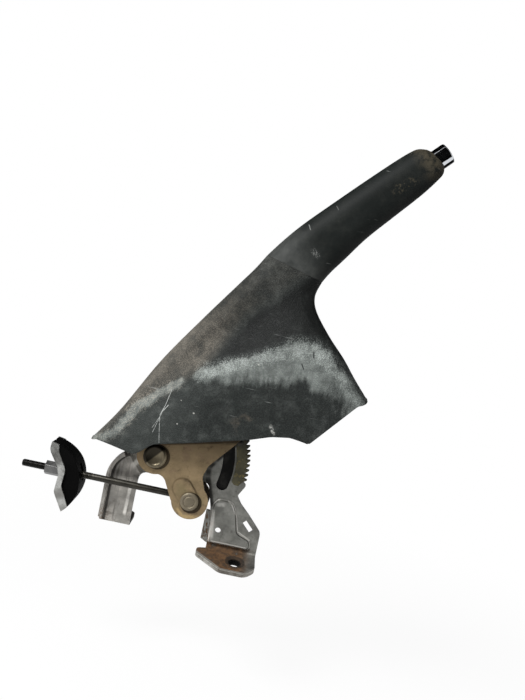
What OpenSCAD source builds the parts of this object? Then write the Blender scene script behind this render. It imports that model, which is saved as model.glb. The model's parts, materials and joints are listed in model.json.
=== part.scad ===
// Parking brake lever: floor bracket with ratchet sector, hooded lever with release button,
// and a threaded pull rod that carries an adjusting nut and a cable equalizer.
// Sizes are millimetres. Each piece is drawn about the main pivot (X to the grip, Z up,
// the picture looks along +Y) and then moved so that the front bolt hole is the origin.

/* [Handle] */
// Slope of the grip and of the release button
grip_angle = 46; // [44:0.5:48]
// Diameter of the release button
button_diameter = 17; // [15:0.5:18]
// How far the button stands out of the grip
button_reach = 13; // [10:0.5:15]
// Length of the grip from the seam with the hood to its blunt end
grip_length = 138.4; // [130:0.2:150]
// Half the width of the grip
grip_half_width = 15.5; // [15:0.25:17]
// Outside diameter of the steel tube in the grip
tube_diameter = 18.8; // [18:0.2:18.8]
// Wall of the steel tube
tube_wall = 1.8; // [1.4:0.1:2.2]

/* [Hood] */
// Wall of the hood
hood_wall = 2.6; // [2:0.1:3]
// How far the skirt of the hood swells past the width of the grip
hood_flare = 16; // [13:0.5:19]

/* [Lever arm] */
// Sheet of the lever arm
lever_sheet = 2.5; // [2:0.1:2.8]
// Clear width between the two side plates, beyond the tube that they clasp
lever_play = 0.2; // [0.2:0.1:1]
// Diameter of the main pivot
pivot_diameter = 12; // [10:0.5:13]
// Diameter of the head on the main pivot
pivot_head = 18.8; // [17:0.2:21]
// Diameter of the pin that holds the pull rod
clevis_diameter = 8; // [7:0.25:9]
// Diameter of the head on that pin
clevis_head = 14.7; // [13:0.1:16]

/* [Ratchet] */
// Radius over the tips of the ratchet teeth
tip_radius = 75.6; // [75:0.1:76.2]
// Height of a ratchet tooth
tooth_height = 3.2; // [2.8:0.1:3.6]
// Angle from one tooth to the next
tooth_pitch = 3.06; // [3:0.02:3.12]
// Thickness of the sector and of the pawl
sector_sheet = 4; // [3.5:0.1:4.5]
// Diameter of the pin that the pawl turns on
pawl_pin_diameter = 7; // [6:0.25:8]

/* [Bracket] */
// Sheet of the bracket
bracket_sheet = 3; // [2.5:0.1:3.4]
// How far the rear leg is set back behind the plate
leg_offset = 14; // [13.6:0.2:16]
// Slope of the front bolt flange
flange_tilt = 15; // [12:0.5:18]
// Diameter of the bolt holes
bolt_hole = 10.5; // [9:0.25:12]
// How far the front bolt hole is from the bend
bolt_reach = 13.5; // [12:0.25:15]
// Height of the pressed panel
panel_height = 2.6; // [2:0.1:3]

/* [Pull rod] */
// Diameter of the threaded end of the rod
rod_diameter = 6; // [5:0.25:6.5]
// Length of the rod from the pin to its free end
rod_length = 139.6; // [132:0.2:145]
// Distance across the flats of the adjusting nut
nut_flats = 10; // [9.5:0.25:12]
// Length of the hexagon of the adjusting nut
nut_hexagon = 14.5; // [12:0.5:16]

/* [Equalizer] */
// Sheet of the equalizer
equalizer_sheet = 2.5; // [2:0.1:2.8]
// Half the width of the equalizer at the rod
equalizer_half_width = 14; // [13:0.25:16]
// Lean of the equalizer
equalizer_lean = 17; // [10:0.5:19]

/* [Hidden] */
$fn = 64;
run_gap = 0.05;
side_gap = 0.15;
plate_half = bracket_sheet / 2;
inner = (tube_diameter + lever_play) / 2;
outer = inner + lever_sheet;
bend = 2.5;

// Places in the side view, from the main pivot
clevis = [33.9, -30.4];
axis_dir = [cos(grip_angle), sin(grip_angle)];
grip_root = [71.86, 173.14];
grip_end = grip_root + grip_length * axis_dir;
stretch = grip_length - 138.4;
// How far the grip sits from where its stations are drawn
lift = grip_root - [71.86, 173.14];
pawl_pivot = polar(tip_radius + 10.4, 54);
pawl_angle = 36;
pawl_arm = 16;
pressed_at_rest = 2.5;
pawl_turn = pressed_at_rest / pawl_arm * 180 / PI;
root_radius = tip_radius - tooth_height;
sector_inner = root_radius - 7.9;
rivet_radius = root_radius - 4.8;
sector_low = -8;
sector_high = 47;
rivet_angles = [20, 42];
groove_radius = root_radius - 14.1;
groove_half = 4.8;
sector_back = -plate_half;
sector_front = sector_back - sector_sheet;
sector_middle = (sector_back + sector_front) / 2;
axis_up = [-sin(grip_angle), cos(grip_angle)];
tail_point = pawl_pivot + pawl_arm * axis_up;

// Front flange: the bend runs along X, and the bolt hole gives the origin
bend_y = -plate_half - bend;
bend_z = -64;
flange_drop = bend + bracket_sheet;
nut_height = 4;
bolt_x = 79.4;
bolt_y = bend_y - bolt_reach * cos(flange_tilt) + flange_drop * sin(flange_tilt);
bolt_z = bend_z - bolt_reach * sin(flange_tilt) - flange_drop * cos(flange_tilt);

// Rear leg
leg_left = -38;
leg_right = -12.5;
leg_bottom = -63;
arch_centre = [-12, -28];
arch_radius = 26;
foot_reach = 33;
rear_bolt = [-25, leg_offset + plate_half + bend + 15];

// Rod, nut and equalizer, along the rod from the pin
ball_radius = 5.2;
bow_radius = 31;
bow_depth = 24;
lip_height = 2;
bow_front = ball_radius + 0.3 + equalizer_sheet;
rod_end = clevis[0] - rod_length;
nut_left = rod_end + 19.2;
seat = [rod_end + 41.7, clevis[1]];
thread_start = rod_end + 57.7;

function polar(r, a) = [r * cos(a), r * sin(a)];
function unit(v) = v / norm(v);
function mix(a, b, f) = a + (b - a) * f;
function smooth(f) = let (g = max(0, min(1, f))) g * g * (3 - 2 * g);
// A point beside the axis of the grip: along it from the grip end, and up from it
function beside(along, up) = grip_end + along * axis_dir + up * axis_up;

// Corner points with a radius each become a path with round corners.
function flat(p) = [p[0], p[1]];
function corner(before, here, after, radius) =
    let (
        a = unit(before - here),
        b = unit(after - here),
        half = acos(max(-1, min(1, a * b))) / 2,
        most = 0.48 * min(norm(before - here), norm(after - here)),
        reach = half > 89 ? 0 : min(radius / tan(half), most),
        middle = here + unit(a + b) * reach / cos(half),
        from = here + a * reach - middle,
        start = atan2(from[1], from[0]),
        turn = (180 - 2 * half) * ((a[0] * b[1] - a[1] * b[0]) > 0 ? -1 : 1),
        steps = max(2, ceil(abs(turn) / 15))
    )
    reach < 0.01 ? [here] : [for (i = [0:steps]) middle + norm(from) * [
        cos(start + turn * i / steps), sin(start + turn * i / steps)
    ]];
function rounded(path) = let (n = len(path)) [
    for (i = [0:n - 1])
        each corner(flat(path[(i + n - 1) % n]), flat(path[i]), flat(path[(i + 1) % n]), path[i][2])
];

module slab(y_low, y_high) {
    translate([0, y_high, 0])
        rotate([90, 0, 0])
            linear_extrude(y_high - y_low)
                children();
}

module crosswise(at, y_low, y_high, diameter) {
    translate([at[0], y_high, at[1]])
        rotate([90, 0, 0])
            cylinder(h = y_high - y_low, d = diameter);
}

// A cylinder along the grip axis
module along_grip(low, high, diameter, second = 0) {
    start = beside(low, 0);
    translate([start[0], 0, start[1]])
        rotate([0, 90 - grip_angle, 0])
            cylinder(h = high - low, d1 = diameter, d2 = second == 0 ? diameter : second);
}

// A cylinder along the rod, which lies along X
module along_rod(x_low, x_high, diameter) {
    translate([x_low, 0, clevis[1]])
        rotate([0, 90, 0])
            cylinder(h = x_high - x_low, d = diameter);
}

module bar(from, to, diameter) {
    run = to - from;
    translate(from)
        rotate([0, acos(run[2] / norm(run)), atan2(run[1], run[0])])
            cylinder(h = norm(run), d = diameter);
}

// Rings of equal length, joined in order; closed makes a shell, otherwise the ends get caps.
module skin(rings, closed) {
    n = len(rings[0]);
    m = len(rings);
    sides = [
        for (j = [0:closed ? m - 1 : m - 2])
            for (i = [0:n - 1])
                let (a = j * n, b = ((j + 1) % m) * n, k = (i + 1) % n)
                    each [[a + i, b + i, a + k], [a + k, b + i, b + k]]
    ];
    ends = closed ? [] : [[for (i = [0:n - 1]) i], [for (i = [n - 1:-1:0]) (m - 1) * n + i]];
    polyhedron(points = [for (ring = rings) each ring], faces = concat(sides, ends), convexity = 8);
}

// A wound wire about the Z axis
module coil(radius, wire, height, turns) {
    steps = turns * 14;
    skin([
        for (i = [0:steps])
            let (a = 360 * turns * i / steps)
                [for (k = [0:5])
                    let (
                        r = radius + wire / 2 * cos(60 * k),
                        z = wire / 2 + (height - wire) * i / steps - wire / 2 * sin(60 * k)
                    )
                    [r * cos(a), r * sin(a), z]]
    ], false);
}

// Hood and grip: rings run from the back rail to the front rail and round the far side.
back_rail = [[-54, 2], [-36, 29], [-12, 74], [14, 114], [36, 146], [47, 162], [54, 174]];
front_rail = [[156, 78], [143, 92], [131, 106], [116, 121], [102, 138], [98, 150], [101, 162]];
hood_crease = [0, 0.03, 0.1, 0.2, 0.3, 0.3, 0.3];
hood_shoulder = [0.4, 0.42, 0.5, 0.8, 0.9, 0.9, 0.9];
hood_swell = [1, 1.02, 0.98, 0.8, 0.25, 0.03, 0];
hood_back_round = [5, 10, 14, 15, 15, 16, 17];
hood_front_round = [9, 10, 11, 12, 13, 15, 17];
// How much of a move of the grip each level of the hood follows
hood_follow = [0, 0, 0, 0.3, 0.7, 1, 1];
ring_steps = [
    0, 0.012, 0.03, 0.06, 0.1, 0.15, 0.22, 0.3, 0.4, 0.5,
    0.6, 0.7, 0.8, 0.87, 0.92, 0.955, 0.98, 0.992, 1,
];
bottom_edge = [
    [-56, 4], [-50, 4], [-18, -0.6], [-13.7, 1.1], [-2.8, 11.2], [12, 15.9], [69.6, 31.3], [86.3, 37.3],
    [100.8, 39.7], [110.5, 38.5], [116, 37.5], [152.5, 81.2], [158, 88],
];

function rail(table, k) = let (i = min(floor(k), len(table) - 2)) mix(table[i], table[i + 1], k - i);
function rise(e, r) = pow(1 - pow(1 - max(0, min(1, e / r)), 2.2), 1 / 2.2);
function hood_half(k, s, length) =
    (grip_half_width + hood_flare * rail(hood_swell, k)
        * smooth((s - rail(hood_crease, k)) / (rail(hood_shoulder, k) - rail(hood_crease, k))))
    * rise(s * length, rail(hood_back_round, k)) * rise((1 - s) * length, rail(hood_front_round, k));
// One side of a hood ring, inset from the outer face; drop lowers it to the bottom edge
function hood_side(k, inset, drop) =
    let (
        b = rail(back_rail, k) + rail(hood_follow, k) * lift,
        f = rail(front_rail, k) + rail(hood_follow, k) * lift,
        length = norm(f - b),
        way = (f - b) / length
    )
    [for (s = ring_steps)
        let (
            p = b + way * mix(inset, length - inset, s),
            half = hood_half(k, s, length),
            low = min(p[1] - 0.02, lookup(p[0], bottom_edge))
        )
        [
            p[0],
            max(0, half - inset * rise(s * length, 12) * rise((1 - s) * length, 12)),
            mix(p[1], low, drop),
        ]];
function both_sides(side) = let (n = len(side)) concat(
    [for (i = [0:n - 1]) [side[i][0], -side[i][1], side[i][2]]],
    [for (i = [n - 2:-1:1]) side[i]]
);
hood_levels = [0, 0.5, 1, 1.5, 2, 2.4, 2.8, 3.2, 3.6, 4, 4.5, 5, 6];
function hood_rings(inset) = concat(
    [both_sides(hood_side(0, inset, 1)), both_sides(hood_side(0, inset, 0.5))],
    [for (k = hood_levels) both_sides(hood_side(k, inset, 0))]
);

// Grip stations: upper point, lower point, half width as a share of the full half width
grip_top = [
    [54, 174], [64, 188], [77, 204], [98, 226.4], [118.6, 247.9],
    [137, 266.5], [146.5, 275.3], [152, 279], [158, 280],
];
grip_low = [
    [101, 162], [106, 171], [115, 184], [128, 203], [145, 223.5],
    [163, 245], [173, 259], [175.8, 264.5], [175.6, 269],
];
grip_share = [1, 1, 1, 1, 0.98, 0.95, 0.9, 0.82, 0.68];
grip_steps = [0, 0.03, 0.09, 0.18, 0.3, 0.42, 0.5, 0.58, 0.7, 0.82, 0.91, 0.97, 1];
function grip_ring(i) =
    let (
        onward = lift + stretch * i / (len(grip_top) - 1) * axis_dir,
        b = grip_top[i] + onward,
        f = grip_low[i] + onward,
        length = norm(f - b),
        round = min(17, 0.46 * length)
    )
    both_sides([for (s = grip_steps)
        let (
            p = mix(b, f, s),
            fullness = rise(s * length, round) * rise((1 - s) * length, round)
        )
        [p[0], grip_half_width * grip_share[i] * fullness, p[1]]]);

// Side view of the lever plates
lever_corners = [
    [-6, -13.7, 0], [9.5, -14.5, 8], [19.5, -34, 3], [33.9, -33, 0], [48.3, -32, 3],
    [40, -9, 6], [43, 0.5, 3],
    [60, 21, 6], [78, 45, 20], [82, 80, 20], [80, 120, 15], [82, 148, 12],
];
web_top = [58, 150];
web_low = [38, 100];

module lever_profile() {
    tongue = [
        concat(beside(-138 - stretch, -8), [8]), concat(beside(-112 - stretch, -8), [2]),
        concat(beside(-112 - stretch, 7), [2]), concat(beside(-138 - stretch, 7), [8]),
    ];
    back = [concat(web_top, [12]), concat(web_low, [10]), [12, 50, 20], [-9, 12, 0]];
    polygon(rounded(concat(lever_corners, tongue, back)));
    circle(r = 15);
    translate(clevis) circle(r = 14.8);
}

module lever_holes() {
    crosswise([0, 0], -outer - 2, outer + 2, pivot_diameter + 2 * run_gap);
    crosswise(clevis, -outer - 2, outer + 2, clevis_diameter);
    crosswise(pawl_pivot, -outer - 2, outer + 2, pawl_pin_diameter);
}

// Side view of the bracket sheet, as one outline
fan_radius = root_radius - 2.4;
function arc(centre, radius, from, to, steps) = [
    for (i = [0:steps]) concat(centre + polar(radius, mix(from, to, i / steps)), [0])
];
module bracket_profile() {
    polygon(rounded(concat(
        [
            [leg_left, leg_bottom, 0], [leg_right, leg_bottom, 0], [leg_right, -16.5, 14],
            [14, -16.5, 4], [34, -13, 8],
            [46, -16, 5], [51, -34, 8], [54, -56, 0], [54, bend_z, 0], [95, bend_z, 0], [95, -47, 6],
            [83, -34.5, 4], [75, -27, 4], [70.6, -20.7, 3], [76, -11, 2],
        ],
        arc([0, 0], fan_radius, sector_low + 3, sector_high, 16),
        arc([0, 0], 17, 78, 150, 6),
        arc(arch_centre, arch_radius, 96, 118, 2),
        arc(arch_centre, arch_radius, 125, 180, 7)
    )));
}

// The sheet seen along its fold: flat at the pivot, set back at the leg
fold_angle = 220;
fold_start = 14;
fold_end = 24;
module folded_sheet() {
    rotate([0, -fold_angle, 0])
        linear_extrude(400, center = true)
            polygon([
                [-140, -plate_half], [fold_start, -plate_half], [fold_end, leg_offset - plate_half],
                [140, leg_offset - plate_half], [140, leg_offset + plate_half],
                [fold_end - 1.2, leg_offset + plate_half],
                [fold_start - 1.2, plate_half], [-140, plate_half],
            ]);
}

// A collar under the front bolt hole
module weld_nut() {
    translate([bolt_x, bend_y, bend_z]) rotate([flange_tilt, 0, 0])
        translate([0, -bolt_reach, -flange_drop - nut_height]) difference() {
            cylinder(h = nut_height + 0.3, d = bolt_hole + 4.5);
            translate([0, 0, -1]) cylinder(h = nut_height + 1.1, d = bolt_hole + 0.6);
        }
}

module mounting_bracket() {
    color("silver") difference() {
        union() {
            intersection() {
                slab(-20, 40) bracket_profile();
                folded_sheet();
            }
            slab(4.5, leg_offset) leg_rim();
            front_flange();
            rear_foot();
            weld_nut();
            slab(-plate_half - panel_height, -plate_half) polygon(rounded(panel_corners(0)));
            translate([0, 0, bend_z]) linear_extrude(25)
                polygon([[54.4, -plate_half], [57, plate_half], [50.6, 8.6], [48, 8.6]]);
        }
        crosswise([0, 0], -5, 5, pivot_diameter);
        slab(plate_half - panel_height, plate_half + 1) polygon(rounded(panel_corners(bracket_sheet)));
        crosswise([60.8, -51.3], -20, 20, 4.7);
        slab(-20, 20) translate([83.9, -44]) rotate(-45) square([9.8, 4], center = true);
        arc_groove();
        for (a = rivet_angles) crosswise(polar(rivet_radius, a), -5, 5, 3.6);
        translate([bolt_x, bend_y, bend_z]) rotate([flange_tilt, 0, 0]) translate([0, -bolt_reach, -20]) {
            cylinder(h = 40, d = bolt_hole);
            translate([0, 0, 20 - bend - 1]) cylinder(h = 1.1, d1 = bolt_hole, d2 = bolt_hole + 6);
        }
        translate([rear_bolt[0], rear_bolt[1], -90]) cylinder(h = 40, d = bolt_hole);
    }
}

function panel_corners(shrink) = [
    [52.5 + shrink, -31 - shrink, 4], [56.5 + shrink, -25.5 - shrink, 5], [68 - shrink, -25.5 - shrink, 6],
    [72.5 - shrink, -33 - shrink, 10], [77 - shrink, -50.5 - shrink, 5], [88.5 - shrink, -54.5 - shrink, 5],
    [89.3 - shrink, -63 + shrink, 3], [54.4 + shrink, -63 + shrink, 2],
];

// A lip toward the viewer along the left edge of the leg and round its corner
module leg_rim() {
    inside = arch_radius - bracket_sheet;
    polygon(rounded(concat(
        [[leg_left + bracket_sheet, leg_bottom, 0], [leg_left, leg_bottom, 0]],
        arc(arch_centre, arch_radius, 180, 125, 7),
        arc(arch_centre, inside, 125, 180, 7)
    )));
}

// Points of a bend, seen along X
function bend_arc(centre, radius, from, to) =
    [for (i = [0:7]) centre + polar(radius, mix(from, to, i / 7))];

// A sheet with a bend, seen along X and cut to a plan outline
module bent_sheet(side_view, plan) {
    intersection() {
        translate([-100, 0, 0]) rotate([90, 0, 90]) linear_extrude(250) polygon(side_view);
        translate([0, 0, -120]) linear_extrude(100) polygon(rounded(plan));
    }
}

module front_flange() {
    centre = [bend_y, bend_z];
    out = 34 * [-cos(flange_tilt), -sin(flange_tilt)];
    turn = flange_tilt - 90;
    inside = bend_arc(centre, bend, turn, 0);
    outside = bend_arc(centre, bend + bracket_sheet, 0, turn);
    bent_sheet(
        concat(
            [[-plate_half, bend_z + 5], [plate_half, bend_z + 5]],
            outside, [outside[7] + out, inside[0] + out], inside
        ),
        [
            [54, 10, 0], [54, bend_y - 1, 0], [47, bend_y - 3, 3], [47, bend_y - 10, 5],
            [68, bend_y - 26.5, 9], [89, bend_y - 26.5, 9], [96, bend_y - 17.5, 8],
            [95, bend_y - 1, 0], [95, 10, 0],
        ]
    );
}

// The foot is a little thicker than the leg that runs into it.
foot_extra = 0.1;
module rear_foot() {
    middle = leg_offset + plate_half + bend;
    centre = [middle, leg_bottom];
    inner_bend = bend - foot_extra;
    outer_bend = bend + bracket_sheet + foot_extra;
    inside = bend_arc(centre, inner_bend, 270, 180);
    outside = bend_arc(centre, outer_bend, 180, 270);
    bent_sheet(
        concat(
            [[middle - inner_bend, leg_bottom + 3], [middle - outer_bend, leg_bottom + 3]],
            outside,
            [[middle + 40, leg_bottom - outer_bend], [middle + 40, leg_bottom - inner_bend]],
            inside
        ),
        [
            [leg_left - foot_extra, 5, 0], [leg_right + foot_extra, 5, 0],
            [leg_right + foot_extra, middle + foot_reach, 9],
            [leg_left - foot_extra, middle + foot_reach, 9],
        ]
    );
}

module arc_groove() {
    low = -14;
    high = 32;
    slab(-plate_half - 1, -plate_half + 1.6) polygon([
        for (p = concat(
            arc([0, 0], groove_radius + groove_half, low, high, 14),
            arc(polar(groove_radius, high), groove_half, high + 18, high + 162, 8),
            arc([0, 0], groove_radius - groove_half, high, low, 14),
            arc(polar(groove_radius, low), groove_half, low + 198, low + 342, 8)
        )) flat(p)
    ]);
}

// Steep faces hold the lever up; they stand at the pawl angle and at whole pitches from it.
function tooth(i) = let (a = pawl_angle + i * tooth_pitch) [
    polar(root_radius, a - 0.95 * tooth_pitch), polar(tip_radius, a - 0.25 * tooth_pitch),
    polar(tip_radius, a - 0.1 * tooth_pitch), polar(root_radius, a),
];

module ratchet_sector() {
    color("darkkhaki") difference() {
        slab(sector_front, sector_back) polygon(concat(
            [for (i = [-13:3]) each tooth(i)],
            [for (i = [0:14]) polar(sector_inner, mix(sector_high - 0.5, sector_low - 0.5, i / 14))],
            [polar(root_radius - 5.4, sector_low - 2), polar(root_radius - 1.9, sector_low - 1.6)]
        ));
        for (a = rivet_angles) crosswise(polar(rivet_radius, a), -20, 20, 3.6);
    }
}

module sector_rivets() {
    color("silver") for (a = rivet_angles) {
        crosswise(polar(rivet_radius, a), sector_front, plate_half, 3.5);
        crosswise(polar(rivet_radius, a), sector_front - 1.2, sector_front, 5.6);
        crosswise(polar(rivet_radius, a), plate_half, plate_half + 1.2, 5.6);
    }
}

module pivot_pin() {
    color("tan") difference() {
        union() {
            crosswise([0, 0], -outer - side_gap - 1, outer + 3.2, pivot_diameter - 0.02);
            crosswise([0, 0], -outer - side_gap - 3.4, -outer - side_gap, pivot_head);
            crosswise([0, 0], -outer - side_gap - 4.2, -outer - side_gap - 3.4, pivot_head - 2.4);
        }
        crosswise([0, 0], -outer - 10, -outer - side_gap - 3.6, pivot_head - 6);
        translate([0, outer + side_gap, 0]) rotate([-90, 0, 0]) difference() {
            cylinder(h = 1.3, d = pivot_diameter + 4);
            translate([0, 0, -1]) cylinder(h = 4, d = pivot_diameter - 2);
        }
    }
}

module pivot_spacers() {
    places = [[-inner + side_gap, -plate_half], [plate_half, inner - side_gap]];
    color("silver") for (ends = places) difference() {
        crosswise([0, 0], ends[0], ends[1], pivot_diameter + 9);
        crosswise([0, 0], -20, 20, pivot_diameter);
    }
}

module pivot_clip() {
    color("dimgray") difference() {
        crosswise([0, 0], outer + side_gap, outer + side_gap + 1.3, pivot_diameter + 5);
        crosswise([0, 0], 0, 40, pivot_diameter - 2);
        slab(0, 40) translate([0, -2]) square([20, 4]);
    }
}

module lever_arm() {
    way = unit(web_low - web_top);
    side = [-way[1], way[0]];
    a = mix(web_top, web_low, 0.14) + side * 0.3;
    b = mix(web_top, web_low, 0.9) + side * 0.3;
    color("burlywood") difference() {
        union() {
            slab(-outer, -inner) lever_profile();
            slab(inner, outer) lever_profile();
            slab(-outer + 0.2, outer - 0.2) polygon([a, b, b + side * lever_sheet, a + side * lever_sheet]);
            slab(-outer - 0.8, -outer + 0.2)
                polygon(rounded(concat(
                    arc(clevis, 9.2, 228, 408, 16), arc(clevis + [-8, 7.2], 9.2, 48, 228, 16)
                )));
        }
        lever_holes();
    }
}

module handle_tube() {
    color("gray") difference() {
        along_grip(-140 - stretch, -20, tube_diameter);
        along_grip(-141 - stretch, -19, tube_diameter - 2 * tube_wall);
    }
}

module tube_bushes() {
    bore = tube_diameter - 2 * tube_wall;
    color("dimgray") {
        difference() {
            along_grip(-36, -20, bore);
            along_grip(-37, -19, 11 + 2 * run_gap);
        }
        difference() {
            along_grip(-76, -72, bore);
            along_grip(-77, -71, 6);
        }
    }
}

module grip() {
    color([0.13, 0.12, 0.12]) difference() {
        skin([for (i = [0:len(grip_top) - 1]) grip_ring(i)], false);
        along_grip(-170 - stretch, -19.5, tube_diameter);
        along_grip(-20, 20, button_diameter + 0.6);
        rotate([0, -grip_angle, 0]) pocket();
    }
}

// Room in the grip for the tongues of the lever plates, drawn along the grip axis
module pocket() {
    start = grip_end * axis_dir;
    height = grip_end * axis_up;
    translate([start - 170 - stretch, -outer - 0.2, height - 8.3]) cube([58.5, 2 * outer + 0.4, 15.6]);
}

module hood() {
    rings = hood_rings(0);
    inside = hood_rings(hood_wall);
    color([0.2, 0.19, 0.18])
        skin(concat(rings, [for (i = [len(inside) - 1:-1:0]) inside[i]]), true);
}

// Two bulkheads hold the hood on the lever arm.
module hood_ribs() {
    color([0.2, 0.19, 0.18]) difference() {
        intersection() {
            skin([
                for (k = [1.5, 2, 2.4, 2.8, 3.2, 3.6, 4, 4.5])
                    both_sides(hood_side(k, hood_wall + 3 * side_gap, 0))
            ], false);
            slab(-40, 40) for (z = [100, 134]) translate([0, z]) square([140, 2.4]);
        }
        slab(-outer, outer) translate([-20, 90]) square([200, 80]);
    }
}

module clevis_pin() {
    top = -outer - 0.8;
    color("tan") difference() {
        union() {
            crosswise(clevis, top, outer + 1, clevis_diameter);
            crosswise(clevis, top - 2.6, top, clevis_head);
            crosswise(clevis, outer, outer + 2.4, clevis_diameter + 4);
        }
        difference() {
            crosswise(clevis, top - 5, top - 1.6, clevis_head - 2.6);
            crosswise(clevis, top - 6, top + 1, clevis_head - 6.4);
        }
        crosswise(clevis, top - 6, top - 1.2, 3.4);
    }
}

module clevis_spacers() {
    color("ivory") for (ends = [[-inner, -3 - side_gap], [3 + side_gap, inner]]) difference() {
        crosswise(clevis, ends[0], ends[1], clevis_diameter + 5);
        crosswise(clevis, -20, 20, clevis_diameter);
    }
}

module pawl_pin() {
    color("silver") {
        crosswise(pawl_pivot, -outer, outer, pawl_pin_diameter);
        crosswise(pawl_pivot, -outer - 1.6, -outer, pawl_pin_diameter + 3.5);
        crosswise(pawl_pivot, outer, outer + 1.6, pawl_pin_diameter + 3.5);
    }
}

module pawl_spacers() {
    places = [[-inner, sector_front - side_gap], [sector_back + side_gap, inner]];
    color("silver") for (ends = places) difference() {
        crosswise(pawl_pivot, ends[0], ends[1], pawl_pin_diameter + 3);
        crosswise(pawl_pivot, -20, 20, pawl_pin_diameter);
    }
}

module pawl_spring() {
    color("gray") translate([pawl_pivot[0], 6.4, pawl_pivot[1]])
        rotate([90, 0, 0]) coil(pawl_pin_diameter / 2 + 2.3, 1.4, 6.4, 4);
}

module return_spring() {
    start = beside(-71.9, 0);
    color("gray") translate([start[0], 0, start[1]])
        rotate([0, 90 - grip_angle, 0]) coil(5.2, 1.4, 31.4, 9);
}

module release_button() {
    dome = 2 * button_diameter;
    ball = beside(button_reach - dome, 0);
    color("gainsboro") {
        intersection() {
            along_grip(-10, button_reach + 2, button_diameter);
            translate([ball[0], 0, ball[1]]) sphere(r = dome);
        }
        along_grip(-40, -9, 11);
    }
}

// A bent wire from the button to the tail of the pawl
module release_rod() {
    tip = tail_point + axis_dir * 2.8;
    hook = tail_point + axis_dir * 20;
    top = beside(-143 - stretch, 0);
    stem = beside(-40, 0);
    points = [
        [stem[0], 0, stem[1]], [top[0], 0, top[1]], [70, sector_middle, 147],
        [hook[0], sector_middle, hook[1]], [tip[0], sector_middle, tip[1]],
    ];
    color("gray") {
        for (i = [0:len(points) - 2]) bar(points[i], points[i + 1], 5);
        for (i = [1:len(points) - 1]) translate(points[i]) sphere(d = 5.4);
    }
}

// Drawn in mesh with the sector, then turned clear of the teeth as the button is held in a little
module pawl() {
    a = pawl_angle;
    p = tooth_pitch;
    low = tip_radius - 1.9;
    color("darkgray") translate([pawl_pivot[0], 0, pawl_pivot[1]]) rotate([0, -pawl_turn, 0])
        translate([-pawl_pivot[0], 0, -pawl_pivot[1]]) difference() {
            union() {
                slab(sector_front, sector_back) polygon([
                    polar(low, a + 0.04 * p), polar(low, a + 0.24 * p),
                    polar(tip_radius + 0.4, a + 0.7 * p),
                    polar(tip_radius + 1.6, 41), polar(tip_radius + 2, 47),
                    pawl_pivot + polar(6, 250), pawl_pivot,
                    pawl_pivot + polar(6, 20), polar(tip_radius + 12.4, 43), polar(tip_radius + 7.4, 37),
                    polar(tip_radius + 3, a - 0.5 * p), polar(tip_radius, a - 0.02 * p),
                ]);
                crosswise(pawl_pivot, sector_front, sector_back, 14);
                slab(sector_front, sector_back) pawl_tail();
            }
            crosswise(pawl_pivot, -20, 20, pawl_pin_diameter + 2 * run_gap);
        }
}

// The face that the release rod pushes passes through the pawl pivot.
module pawl_tail() {
    back = polar(1, 90 + grip_angle - pawl_turn);
    down = polar(1, 180 + grip_angle - pawl_turn);
    polygon([
        pawl_pivot, pawl_pivot + back * (pawl_arm + 2), pawl_pivot + back * (pawl_arm + 2) + down * 3.5,
        pawl_pivot + back * 4 + down * 6,
    ]);
}

module pull_rod() {
    color("dimgray") difference() {
        union() {
            crosswise(clevis, -3, 3, clevis_diameter + 9);
            along_rod(thread_start, clevis[0], rod_diameter - 0.5);
            along_rod(rod_end + 1, thread_start, rod_diameter);
            along_rod(rod_end, rod_end + 1.5, rod_diameter - 1.4);
        }
        crosswise(clevis, -20, 20, clevis_diameter + 2 * run_gap);
    }
}

module adjuster_nut() {
    ball = seat[0];
    color("lightgray") difference() {
        union() {
            translate([nut_left, 0, clevis[1]]) rotate([0, 90, 0])
                cylinder(h = nut_hexagon, d = nut_flats / cos(30), $fn = 6);
            along_rod(nut_left + nut_hexagon - 0.5, ball, nut_flats - 0.4);
            translate([ball, 0, clevis[1]]) sphere(r = ball_radius);
        }
        along_rod(nut_left - 5, ball + 20, rod_diameter + 2 * run_gap);
    }
}

module bow(inset) {
    intersection() {
        translate([bow_front - bow_radius, 0]) circle(r = bow_radius - inset);
        translate([bow_front - bow_depth - (inset > 0 ? 5 : 0), -40]) square([40, 80]);
    }
}

module leaf(inset) {
    w = equalizer_half_width - inset;
    rotate([0, 90, 0]) linear_extrude(90, center = true)
        polygon(rounded([
            [-40, -w + 6, 0], [-10, -w, 12], [10, -w, 12], [40, -w + 6, 0],
            [40, w - 6, 0], [10, w, 12], [-10, w, 12], [-40, w - 6, 0],
        ]));
}

// Open edge of the equalizer, in side view, and the lip that is turned out along it
lip_outside = [[-8, 36, 3], [-13.4, 23, 8], [-8.2, 9, 5], [-8.2, 2, 5], [-13.4, -11, 8], [-9, -36, 3]];
lip_inside = [[-4, -36, 3], [-5.6, -15, 8], [-7, -7, 6], [-2, 6, 8], [-6, 20, 8], [-5, 36, 3]];

module lips() {
    intersection() {
        slab(-30, 30) polygon(rounded(concat(lip_outside, lip_inside)));
        slab(-30, 30) bow(0);
        difference() {
            leaf(-lip_height);
            leaf(0.5);
        }
    }
}

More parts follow.
